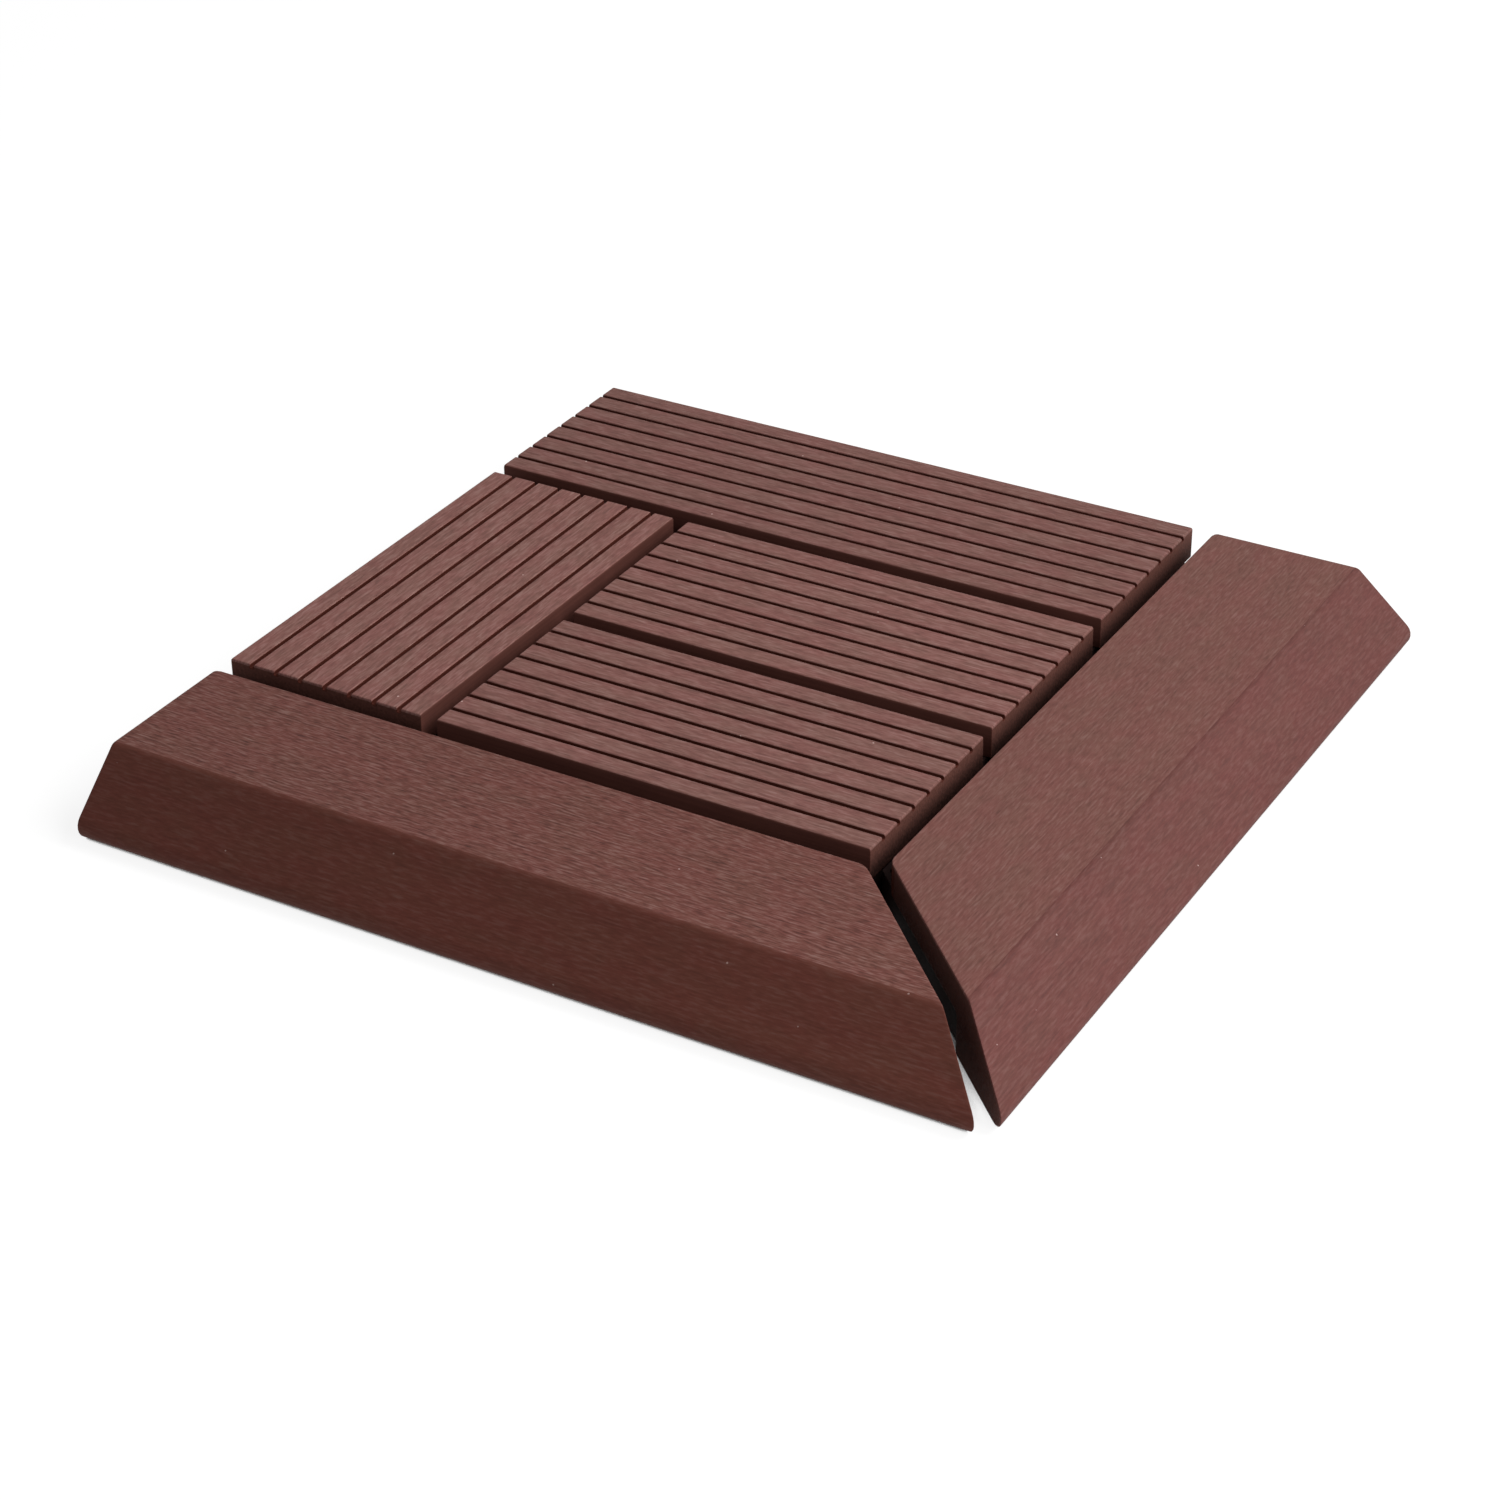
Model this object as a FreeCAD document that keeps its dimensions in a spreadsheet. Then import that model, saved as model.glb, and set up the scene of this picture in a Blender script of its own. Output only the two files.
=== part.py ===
import FreeCAD, Part
import math
import os
import Sketcher

# An interlocking deck tile with two edge trims.
# Four grooved boards lie on a moulded grid base, which has a screw tower at each corner of each board.
# Loops stand out of the grid on its left and back sides, for the pegs of the next tile. On the other two
# sides the grid's own pegs hold the loops of two narrow strips, and each strip carries a bevelled trim
# board. Trims and strips are mitred at the corner.
#
# Frame: the origin is the tile's centre on the ground, +X points to the right trim, +Y to the back board
# and +Z up. Each board is drawn with its length along its own x. A trim and its strip share one frame,
# with y = 0 at the trim's inner edge and -y outwards.

# Driving sizes, in millimetres. Each one is written once.
SIZES = {
    # boards
    "slat_width": 95.0,
    "slat_gap": 7.5,
    "board_thickness": 14.5,
    "groove_pitch": 12.25,
    "groove_width": 2.0,
    "groove_depth": 2.0,
    "rib_edge": 0.5,
    # moulded grid
    "base_height": 17.5,
    "base_inset": 2.0,
    "skirt_wall": 2.5,
    "web_wall": 2.0,
    "foot_height": 2.0,
    "foot_span": 9.0,
    # screw towers of the grids
    "tower_width": 12.0,
    "tower_wall": 1.8,
    "screw_web": 4.0,
    "screw_hole": 2.0,
    # interlock
    "peg_radius": 4.5,
    "peg_inset": 8.5,
    "peg_bottom": 1.5,
    "peg_lead": 0.8,
    "loop_clearance": 0.4,
    "loop_wall": 4.1,
    "loop_bottom": 1.0,
    "loop_thickness": 6.5,
    "pocket_clearance": 1.0,
    # trims and the strips below them
    "trim_gap": 10.0,
    "mitre_gap": 9.5,
    "trim_top": 67.5,
    "trim_slope": 36.0,
    "trim_nose": 6.0,
    "trim_round": 1.0,
    "strip_width": 66.0,
    "strip_joint": 2.5,
    "strip_clearance": 1.0,
}

# Counts and grid lines. Line k of the grid lies k cells from the tile's centre.
GROOVES = 7
SLAT_ROWS = 3
CELLS_PER_SLAT = 3
OUTER_LINE = 4
FOOT_ROWS = 5
PEG_LINES = (-3, 3)
TRIM_SCREW_LINES = (-3, 0, 3)
LONG_SCREW_LINE = 4
SHORT_SCREW_LINE = 2.5

# A cut that has to leave the material ends this far outside it.
OVERRUN = 5.0
# The mark of a gap in a row of copies that takes the row's common step.
COMMON_STEP = -1.0
# How much of a diagonal lies along each axis.
DIAGONAL = 0.5 ** 0.5


class Size:
    """A number together with the sheet formula that gives it."""

    def __init__(self, number, formula):
        self.number = float(number)
        self.formula = formula

    def __add__(self, other):
        other = as_size(other)
        return Size(self.number + other.number, f"({self.formula} + {other.formula})")

    def __sub__(self, other):
        other = as_size(other)
        return Size(self.number - other.number, f"({self.formula} - {other.formula})")

    def __mul__(self, factor):
        return Size(self.number * factor, f"({self.formula} * ({factor}))")

    def __truediv__(self, divisor):
        return Size(self.number / divisor, f"({self.formula} / {divisor})")

    def __neg__(self):
        return self * -1


def as_size(value):
    """A plain number as a size, or a size as it is."""
    if isinstance(value, Size):
        return value
    return Size(value, f"({value})")


doc = FreeCAD.newDocument("DeckTile")
sheet = doc.addObject("Spreadsheet::Sheet", "Sizes")
for row, (name, number) in enumerate(SIZES.items(), start=1):
    sheet.set(f"A{row}", name)
    sheet.set(f"B{row}", str(number))
    sheet.setAlias(f"B{row}", name)
doc.recompute()


def size(name):
    """One driving size of the sheet."""
    return Size(SIZES[name], f"Sizes.{name}")


# Worked out from the driving sizes.
slat_width = size("slat_width")
slat_pitch = slat_width + size("slat_gap")
cell = slat_pitch / CELLS_PER_SLAT
tile_side = slat_pitch * SLAT_ROWS - size("slat_gap")
tile_half = tile_side / 2
short_slat = slat_pitch * (SLAT_ROWS - 1) - size("slat_gap")
base_height = size("base_height")
top_height = base_height + size("board_thickness")
base_half = tile_half - size("base_inset")
base_inner = base_half - size("skirt_wall")
web_half = size("web_wall") / 2
peg_line = tile_half - size("peg_inset")
loop_line = slat_pitch * SLAT_ROWS - peg_line
loop_bore = size("peg_radius") + size("loop_clearance")
loop_radius = loop_bore + size("loop_wall")
loop_top = size("loop_bottom") + size("loop_thickness")
loop_rooting = base_half - cell * OUTER_LINE
pocket_half = loop_radius + size("pocket_clearance")
trim_line = tile_half + size("trim_gap")
trim_reach = size("trim_top") + size("trim_slope")
mitre_start = trim_line - size("mitre_gap") * DIAGONAL
strip_inner = size("trim_gap") + size("base_inset") - size("strip_joint")
strip_outer = strip_inner - size("strip_width")
strip_middle = strip_inner - size("strip_width") / 2


def tie(sketch, kind, elements, value):
    """Add one dimension to a sketch and bind it to the sheet."""
    value = as_size(value)
    index = sketch.addConstraint(Sketcher.Constraint(kind, *elements, value.number))
    sketch.setExpression(f"Constraints[{index}]", value.formula)


def sketch_on(body, name, role, offset=0):
    """A sketch on one of the body's origin planes, moved along the plane's normal."""
    sketch = body.newObject("Sketcher::SketchObject", name)
    plane = [item for item in body.Origin.OriginFeatures if item.Role == role][0]
    sketch.AttachmentSupport = [(plane, "")]
    sketch.MapMode = "FlatFace"
    sketch.setExpression("AttachmentOffset.Base.z", as_size(offset).formula)
    return sketch


def outline(sketch, points):
    """A closed outline of straight lines, with each corner placed from the origin."""
    points = [(as_size(x), as_size(y)) for x, y in points]
    corners = [FreeCAD.Vector(x.number, y.number, 0) for x, y in points]
    first = sketch.GeometryCount
    count = len(points)
    for k in range(count):
        sketch.addGeometry(Part.LineSegment(corners[k], corners[(k + 1) % count]), False)
    for k in range(count):
        following = first + (k + 1) % count
        sketch.addConstraint(Sketcher.Constraint("Coincident", first + k, 2, following, 1))
    for k, (x, y) in enumerate(points):
        tie(sketch, "DistanceX", (-1, 1, first + k, 1), x)
        tie(sketch, "DistanceY", (-1, 1, first + k, 1), y)


def rectangle(x_low, x_high, y_low, y_high):
    """The four corners between four sides."""
    return [(x_low, y_low), (x_high, y_low), (x_high, y_high), (x_low, y_high)]


def box_outline(sketch, x_low, x_high, y_low, y_high):
    """A rectangle between its four sides, as a closed outline."""
    outline(sketch, rectangle(x_low, x_high, y_low, y_high))


def squares(sketch, spots, width):
    """A square round each spot."""
    half = width / 2
    for x, y in spots:
        box_outline(sketch, x - half, x + half, y - half, y + half)


def round_curve(x, y, radius):
    """A full circle for a sketch."""
    return Part.Circle(FreeCAD.Vector(x.number, y.number, 0), FreeCAD.Vector(0, 0, 1), radius.number)


def circles(sketch, spots, radius):
    """A circle round each spot."""
    for x, y in spots:
        circle = sketch.addGeometry(round_curve(x, y, radius), False)
        tie(sketch, "Radius", (circle,), radius)
        tie(sketch, "DistanceX", (-1, 1, circle, 3), x)
        tie(sketch, "DistanceY", (-1, 1, circle, 3), y)


def pad(body, sketch, length, both_ways=False):
    """Material from the sketch along its normal, or half of it to each side."""
    feature = body.newObject("PartDesign::Pad", sketch.Name + "_pad")
    feature.Profile = sketch
    feature.setExpression("Length", as_size(length).formula)
    if both_ways:
        feature.SideType = "Symmetric"
    return feature


def cut(body, sketch, depth=None):
    """A cut along the sketch's normal to a depth, or without one right through both ways."""
    feature = body.newObject("PartDesign::Pocket", sketch.Name + "_cut")
    feature.Profile = sketch
    feature.Reversed = True
    if depth is None:
        feature.Type = "ThroughAll"
        feature.SideType = "Symmetric"
    else:
        feature.setExpression("Length", as_size(depth).formula)
    return feature


def repeat(body, feature, sketch, first_way, second_way=None):
    """A row or grid of copies. A way is an axis of the sketch, the number of copies and their step."""
    pattern = body.newObject("PartDesign::LinearPattern", feature.Name + "_row")
    pattern.Originals = [feature]
    for suffix, way in (("", first_way), ("2", second_way)):
        if way:
            axis, copies, step = way
            setattr(pattern, "Direction" + suffix, (sketch, [axis]))
            setattr(pattern, "Mode" + suffix, "Spacing")
            setattr(pattern, "Occurrences" + suffix, copies)
            setattr(pattern, "Spacings" + suffix, [COMMON_STEP] * (copies - 1))
            pattern.setExpression("Offset" + suffix, as_size(step).formula)
    body.Tip = pattern
    return pattern


def edges_where(feature, wanted):
    """Names of the feature's edges whose ends and middle all pass the test."""
    names = []
    for number, edge in enumerate(feature.Shape.Edges, start=1):
        middle = edge.valueAt((edge.FirstParameter + edge.LastParameter) / 2)
        spots = [vertex.Point for vertex in edge.Vertexes] + [middle]
        if all(wanted(spot) for spot in spots):
            names.append(f"Edge{number}")
    return names


def near(a, b):
    """True where two coordinates are the same to a hundredth of a millimetre."""
    return abs(a - b) < 0.01


def dress(body, kind, base, edges, amount):
    """A fillet or a chamfer on edges of the feature."""
    feature = body.newObject(f"PartDesign::{kind}", f"{base.Name}_{kind.lower()}")
    feature.Base = (base, edges)
    feature.setExpression("Radius" if kind == "Fillet" else "Size", as_size(amount).formula)
    return feature


def new_body(label):
    """A body whose label names its file."""
    body = doc.addObject("PartDesign::Body", label)
    body.Label = label
    body.AllowCompound = True
    return body


def place(body, x, y, z, quarter_turns=0):
    """Put a body at x, y, z, turned about the vertical."""
    turn = FreeCAD.Rotation(FreeCAD.Vector(0, 0, 1), 90 * quarter_turns)
    body.Placement = FreeCAD.Placement(FreeCAD.Vector(0, 0, 0), turn)
    for axis, value in (("x", x), ("y", y), ("z", z)):
        body.setExpression(f"Placement.Base.{axis}", as_size(value).formula)


# The boards.

# name, centre, length, quarter turns, grid lines from its middle to its screws
BOARDS = [
    ("back_slat", as_size(0), slat_pitch, tile_side, 0, LONG_SCREW_LINE),
    ("left_slat", -slat_pitch, -slat_pitch / 2, short_slat, 1, SHORT_SCREW_LINE),
    ("middle_slat", slat_pitch / 2, as_size(0), short_slat, 0, SHORT_SCREW_LINE),
    ("front_slat", slat_pitch / 2, -slat_pitch, short_slat, 0, SHORT_SCREW_LINE),
]


def board_screw_spots():
    """Four screws to a board, near its corners and on crossings of the grid."""
    spots = []
    for _, centre_x, centre_y, _, quarter_turns, screw_line in BOARDS:
        along = cell * screw_line
        for x, y in ((-along, -cell), (along, -cell), (-along, cell), (along, cell)):
            if quarter_turns:
                x, y = -y, x
            spots.append((centre_x + x, centre_y + y))
    return spots


def make_slat(label, centre_x, centre_y, length, quarter_turns):
    """A solid board with straight grooves in its top."""
    body = new_body(label)
    thickness = size("board_thickness")
    section = sketch_on(body, label + "_section", "YZ_Plane")
    box_outline(section, -slat_width / 2, slat_width / 2, 0, thickness)
    pad(body, section, length, both_ways=True)

    groove = sketch_on(body, label + "_groove", "YZ_Plane")
    groove_half = size("groove_width") / 2
    first_groove = size("groove_pitch") * -(GROOVES // 2)
    floor = thickness - size("groove_depth")
    box_outline(groove, first_groove - groove_half, first_groove + groove_half, floor, thickness + OVERRUN)
    groove_cut = cut(body, groove)
    grooves = repeat(body, groove_cut, groove, ("H_Axis", GROOVES, size("groove_pitch")))

    doc.recompute()
    top_edges = edges_where(grooves, lambda spot: near(spot.z, thickness.number))
    long_edges = [name for name in top_edges if grooves.Shape.getElement(name).Length > slat_width.number]
    dress(body, "Chamfer", grooves, long_edges, size("rib_edge"))
    place(body, centre_x, centre_y, base_height, quarter_turns)
    return body


# The moulded grids.

def skirt(body, name, outside, inside):
    """The outer wall of a grid, between two outlines."""
    walls = sketch_on(body, name, "XY_Plane", size("foot_height"))
    outline(walls, outside)
    outline(walls, inside)
    return pad(body, walls, base_height - size("foot_height"))


def webs(body, name, sides, way=None):
    """One web of a grid, repeated where a way is given."""
    web = sketch_on(body, name, "XY_Plane", size("foot_height"))
    box_outline(web, *sides)
    feature = pad(body, web, base_height - size("foot_height"))
    return repeat(body, feature, web, way) if way else feature


def feet(body, name, x, y, first_way=None, second_way=None):
    """Small crosses that carry crossings of the grid down to the ground, or one where no way is given."""
    half = size("foot_span") / 2
    cross = sketch_on(body, name, "XY_Plane")
    quarter = [(half, -web_half), (half, web_half), (web_half, web_half)]
    corners = []
    for _ in range(4):
        corners += quarter
        quarter = [(-dy, dx) for dx, dy in quarter]
    outline(cross, [(dx + x, dy + y) for dx, dy in corners])
    foot = pad(body, cross, size("foot_height"))
    return repeat(body, foot, cross, first_way, second_way) if first_way else foot


def towers(body, name, spots):
    """Square screw towers that stand on the ground, as solid posts until they are bored."""
    posts = sketch_on(body, name, "XY_Plane")
    squares(posts, spots, size("tower_width"))
    return pad(body, posts, base_height)


def bore_towers(body, name, spots):
    """A square recess for each screw's head, open below, and a hole through the web above it."""
    recess = sketch_on(body, name + "_recess", "XY_Plane")
    squares(recess, spots, size("tower_width") - size("tower_wall") * 2)
    cut(body, recess, base_height - size("screw_web"))
    hole = sketch_on(body, name + "_hole", "XY_Plane")
    circles(hole, spots, size("screw_hole"))
    return cut(body, hole)


def loop_outline(sketch, along, root, reach, quarter_turns):
    """A flat loop that points to +y, or a quarter turn on to -x: straight arm, round end and bore."""
    def turned(u, v):
        return (-v, u) if quarter_turns else (u, v)

    corners = [
        turned(along - loop_radius, reach),
        turned(along - loop_radius, root),
        turned(along + loop_radius, root),
        turned(along + loop_radius, reach),
    ]
    centre_x, centre_y = turned(along, reach)
    start = math.pi / 2 * quarter_turns
    first = sketch.GeometryCount
    for (x, y), (next_x, next_y) in zip(corners, corners[1:]):
        one, other = FreeCAD.Vector(x.number, y.number, 0), FreeCAD.Vector(next_x.number, next_y.number, 0)
        sketch.addGeometry(Part.LineSegment(one, other), False)
    circle = round_curve(centre_x, centre_y, loop_radius)
    arc = sketch.addGeometry(Part.ArcOfCircle(circle, start, start + math.pi), False)
    for line in (first, first + 1, first + 2):
        following = line + 1
        sketch.addConstraint(Sketcher.Constraint("Coincident", line, 2, following, 1))
    sketch.addConstraint(Sketcher.Constraint("Coincident", arc, 2, first, 1))
    for line, (x, y) in ((first + 1, corners[1]), (first + 2, corners[2])):
        tie(sketch, "DistanceX", (-1, 1, line, 1), x)
        tie(sketch, "DistanceY", (-1, 1, line, 1), y)
    tie(sketch, "Radius", (arc,), loop_radius)
    tie(sketch, "DistanceX", (-1, 1, arc, 3), centre_x)
    tie(sketch, "DistanceY", (-1, 1, arc, 3), centre_y)
    across, level = ("DistanceX", centre_x) if quarter_turns else ("DistanceY", centre_y)
    tie(sketch, across, (-1, 1, arc, 1), level)
    tie(sketch, across, (-1, 1, arc, 2), level)
    circles(sketch, [(centre_x, centre_y)], loop_bore)


def make_tile_base():
    """The tile's grid: skirt, webs, feet and towers, loops at the left and back, pegs elsewhere."""
    body = new_body("tile_base")
    first = cell * -OUTER_LINE
    lines = 2 * OUTER_LINE + 1
    outside = rectangle(-base_half, base_half, -base_half, base_half)
    inside = rectangle(-base_inner, base_inner, -base_inner, base_inner)
    skirt(body, "walls", outside, inside)
    feet(body, "feet", first, first, ("H_Axis", FOOT_ROWS, cell * 2), ("V_Axis", FOOT_ROWS, cell * 2))
    towers(body, "towers", board_screw_spots())
    links = sketch_on(body, "loops", "XY_Plane", size("loop_bottom"))
    for k in PEG_LINES:
        for quarter_turns in (0, 1):
            loop_outline(links, cell * k, base_half - loop_rooting, loop_line, quarter_turns)
    pad(body, links, size("loop_thickness"))
    low, high = first - web_half, first + web_half
    webs(body, "long_webs", (low, high, -base_inner, base_inner), ("H_Axis", lines, cell))
    webs(body, "cross_webs", (-base_inner, base_inner, low, high), ("V_Axis", lines, cell))

    pockets = sketch_on(body, "pockets", "XY_Plane")
    nearest, furthest = peg_line - pocket_half, base_half + OVERRUN
    peg_spots = []
    for k in PEG_LINES:
        low, high = cell * k - pocket_half, cell * k + pocket_half
        box_outline(pockets, low, high, -furthest, -nearest)
        box_outline(pockets, nearest, furthest, low, high)
        peg_spots += [(cell * k, -peg_line), (peg_line, cell * k)]
    cut(body, pockets, loop_top + size("pocket_clearance"))

    pegs = sketch_on(body, "pegs", "XY_Plane", size("peg_bottom"))
    circles(pegs, peg_spots, size("peg_radius"))
    peg_pad = pad(body, pegs, base_height - size("peg_bottom"))
    doc.recompute()
    tips = edges_where(peg_pad, lambda spot: near(spot.z, SIZES["peg_bottom"]))
    dress(body, "Chamfer", peg_pad, tips, size("peg_lead"))
    bore_towers(body, "tower", board_screw_spots())
    return body


def place_beside(body, quarter_turns):
    """Put a trim or its strip on the front side, or a quarter turn on, on the right side."""
    place(body, trim_line * quarter_turns, trim_line * (quarter_turns - 1), 0, quarter_turns)


def mitre_reach(place, setback):
    """Where a line that lies at a place across a strip meets its mitre, or one along it, across it."""
    return mitre_start - place - (size("base_inset") + setback) / DIAGONAL


def strip_plan(setback, mitre_way):
    """The four corners of a strip, drawn in by a setback: one end is square and the other mitred."""
    low, high = strip_outer + setback, strip_inner - setback
    square_end = (base_half - setback) * -mitre_way
    long_end, short_end = mitre_reach(low, setback) * mitre_way, mitre_reach(high, setback) * mitre_way
    return [(square_end, low), (long_end, low), (short_end, high), (square_end, high)]


def make_strip(label, quarter_turns, mitre_way):
    """The narrow grid below a trim, with loops for the tile's pegs and one end mitred."""
    body = new_body(label)
    wall = size("skirt_wall")
    first = cell * -OUTER_LINE
    last = cell * (OUTER_LINE + 1)
    skirt(body, label + "_walls", strip_plan(as_size(0), mitre_way), strip_plan(wall, mitre_way))
    feet(body, label + "_feet", first, strip_middle, ("H_Axis", FOOT_ROWS, cell * 2))
    feet(body, label + "_end_foot", last * mitre_way, strip_outer + cell / 2)
    screw_spots = [(cell * k, strip_middle) for k in TRIM_SCREW_LINES]
    towers(body, label + "_towers", screw_spots)
    links = sketch_on(body, label + "_loops", "XY_Plane", size("loop_bottom"))
    for k in PEG_LINES:
        loop_outline(links, cell * k, strip_inner - loop_rooting, trim_line - peg_line, 0)
    pad(body, links, size("loop_thickness"))

    low, high = strip_outer + wall, strip_inner - wall
    spine_start = base_inner * -mitre_way
    spine_end = mitre_reach(strip_middle, wall / 2) * mitre_way
    webs(body, label + "_spine", (spine_start, spine_end, strip_middle - web_half, strip_middle + web_half))
    row = ("H_Axis", 2 * OUTER_LINE + 1, cell)
    webs(body, label + "_webs", (first - web_half, first + web_half, low, high), row)
    middle = last * mitre_way
    webs(body, label + "_last_web", (middle - web_half, middle + web_half, low, mitre_reach(last, wall / 2)))
    bore_towers(body, label + "_tower", screw_spots)
    place_beside(body, quarter_turns)
    return body


# The trims.

def make_trim(label, quarter_turns, mitre_way):
    """A bevelled board: flat top, slope and round nose, rebated below for its strip, one end mitred."""
    body = new_body(label)
    square_end = tile_half * -mitre_way
    mitred_end = (mitre_start + trim_reach) * mitre_way
    rebate = strip_outer - size("strip_clearance")
    section = sketch_on(body, label + "_section", "YZ_Plane", square_end if mitre_way > 0 else mitred_end)
    outline(section, [
        (0, base_height),
        (0, top_height),
        (-size("trim_top"), top_height),
        (-trim_reach, 0),
        (rebate, 0),
        (rebate, base_height),
    ])
    pad(body, section, tile_half + mitre_start + trim_reach)

    mitre = sketch_on(body, label + "_mitre", "XY_Plane")
    far_end = (mitre_start + trim_reach + OVERRUN) * mitre_way
    outline(mitre, [
        ((mitre_start - OVERRUN) * mitre_way, OVERRUN),
        (far_end, -trim_reach - OVERRUN),
        (far_end, OVERRUN),
    ])
    mitred = cut(body, mitre)

    doc.recompute()
    nose = edges_where(mitred, lambda spot: near(spot.y, -trim_reach.number) and near(spot.z, 0))
    rounded = dress(body, "Fillet", mitred, nose, size("trim_nose"))
    doc.recompute()
    long_lines = (0, -SIZES["trim_top"])
    top_edges = edges_where(
        rounded, lambda spot: near(spot.z, top_height.number) and any(near(spot.y, y) for y in long_lines)
    )
    dress(body, "Fillet", rounded, top_edges, size("trim_round"))
    place_beside(body, quarter_turns)
    return body


parts = [make_slat(name, x, y, length, turns) for name, x, y, length, turns, _ in BOARDS]
parts.append(make_tile_base())
parts.append(make_strip("front_trim_base", 0, 1))
parts.append(make_strip("right_trim_base", 1, -1))
parts.append(make_trim("front_trim", 0, 1))
parts.append(make_trim("right_trim", 1, -1))
doc.recompute()

for item in doc.Objects:
    if "Invalid" in item.State or "Error" in item.State:
        raise RuntimeError(f"{item.Name} failed: {item.State}")
for part in parts:
    if part.Shape.isNull() or not part.Shape.isValid():
        raise RuntimeError(f"{part.Label} has no valid shape")

os.makedirs("parts", exist_ok=True)
for part in parts:
    part.Shape.exportStep(f"parts/{part.Label}.step")
    box = part.Shape.BoundBox
    print(f"{part.Label}: {len(part.Shape.Solids)} solid(s), {part.Shape.Volume / 1000:.1f} cm3,",
          f"{box.XLength:.2f} x {box.YLength:.2f} x {box.ZLength:.2f} mm")
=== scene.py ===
# %% [markdown]
# # An interlocking deck tile with two edge trims
#
# Four grooved boards of wood and plastic composite lie on a black moulded grid. Two bevelled trims,
# mitred at the corner, stand on narrow grids of their own that are pegged to the tile's front and right
# sides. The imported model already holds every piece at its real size. This script gives the boards and
# trims their soft edges and brushed finish, dresses the grids as moulded plastic and adds the screws.
#
# The frame is in metres: the origin is the tile's centre on the ground, +X points to the right trim,
# +Y to the back board and +Z up.

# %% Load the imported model
import itertools
import math

import bmesh
import bpy
from mathutils import Matrix, Quaternion, Vector


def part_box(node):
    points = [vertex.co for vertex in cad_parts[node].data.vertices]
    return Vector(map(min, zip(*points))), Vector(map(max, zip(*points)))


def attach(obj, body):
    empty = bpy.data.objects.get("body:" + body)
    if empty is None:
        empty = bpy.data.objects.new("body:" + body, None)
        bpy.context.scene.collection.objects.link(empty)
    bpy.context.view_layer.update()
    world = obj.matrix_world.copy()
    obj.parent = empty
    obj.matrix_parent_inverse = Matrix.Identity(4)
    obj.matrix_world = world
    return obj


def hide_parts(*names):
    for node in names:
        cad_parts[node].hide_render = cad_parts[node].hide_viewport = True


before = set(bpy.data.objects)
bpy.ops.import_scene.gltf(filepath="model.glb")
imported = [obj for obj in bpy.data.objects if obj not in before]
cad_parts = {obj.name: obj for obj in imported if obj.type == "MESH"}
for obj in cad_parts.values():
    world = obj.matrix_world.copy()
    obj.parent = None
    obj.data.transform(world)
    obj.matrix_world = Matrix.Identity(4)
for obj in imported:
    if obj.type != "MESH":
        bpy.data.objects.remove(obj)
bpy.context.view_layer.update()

MM = 0.001
print("CAD nodes:", ", ".join(sorted(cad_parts)))

# %% [markdown]
# ## Camera
#
# The picture was taken from the front right, about a third of the way up from the ground. Instead of a
# matrix, the camera is placed the way a photographer would say it: what it aims at, how far round the
# tile and how high it stands, how far away it is and how much it leans. A long lens keeps the
# perspective gentle.

# %% Place the camera
AIM = Vector((47.6, -63.4, 0.0)) * MM
CAMERA_AZIMUTH = math.radians(30.19)
CAMERA_ELEVATION = math.radians(31.05)
CAMERA_LEAN = math.radians(-0.57)
CAMERA_DISTANCE = 1.447
CAMERA_LENS = 84.25
SENSOR_WIDTH = 36.0


def direction(azimuth, elevation):
    """Unit vector out of the tile. Azimuth 0 is the front, and it turns towards the right trim."""
    level = math.cos(elevation)
    return Vector((math.sin(azimuth) * level, -math.cos(azimuth) * level, math.sin(elevation)))


def add_to_scene(name, data):
    """A new object in the scene that holds this data."""
    thing = bpy.data.objects.new(name, data)
    bpy.context.scene.collection.objects.link(thing)
    return thing


camera_data = bpy.data.cameras.new("camera")
camera_data.lens = CAMERA_LENS
camera_data.sensor_width = SENSOR_WIDTH
camera = add_to_scene("camera", camera_data)
towards_camera = direction(CAMERA_AZIMUTH, CAMERA_ELEVATION)
camera.location = AIM + towards_camera * CAMERA_DISTANCE
camera.rotation_mode = "QUATERNION"
camera.rotation_quaternion = towards_camera.to_track_quat("Z", "Y") @ Quaternion((0, 0, 1), CAMERA_LEAN)
bpy.context.scene.camera = camera
bpy.context.scene.view_settings.view_transform = "Standard"
print("Camera stands at", [round(value, 3) for value in camera.location])

# %% [markdown]
# ## Building materials from nodes
#
# Every finish below is a small network of nodes. A few helpers keep the recipes short. The main one adds
# a node and fills its sockets, whether with plain values or with another node's output. The others build
# on it: one does a sum, one mixes two colours, one brings a value to a new range, and the last starts a
# material and hands back its tree and shader. A Mix node has a set of sockets for each kind of data, so
# those for colours are named by their numbers here.
#
# The finishes could also be pictures wrapped round the pieces. Noise from nodes was chosen because it has
# no seams, follows each board by itself and stays sharp from close by.

# %% Helpers for node recipes
MIX_AMOUNT, MIX_COLOUR_A, MIX_COLOUR_B, MIX_RESULT = 0, 6, 7, 2


def add_node(tree, kind, inputs=None, **settings):
    """A shader node. inputs maps a socket's name or number to a value or to another node's output."""
    made = tree.nodes.new("ShaderNode" + kind)
    for name, value in settings.items():
        setattr(made, name, value)
    for name, value in (inputs or {}).items():
        if isinstance(value, bpy.types.NodeSocket):
            tree.links.new(value, made.inputs[name])
        else:
            made.inputs[name].default_value = value
    return made


def add_math(tree, operation, first, second):
    """The result of one sum on two values."""
    return add_node(tree, "Math", {0: first, 1: second}, operation=operation).outputs[0]


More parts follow.
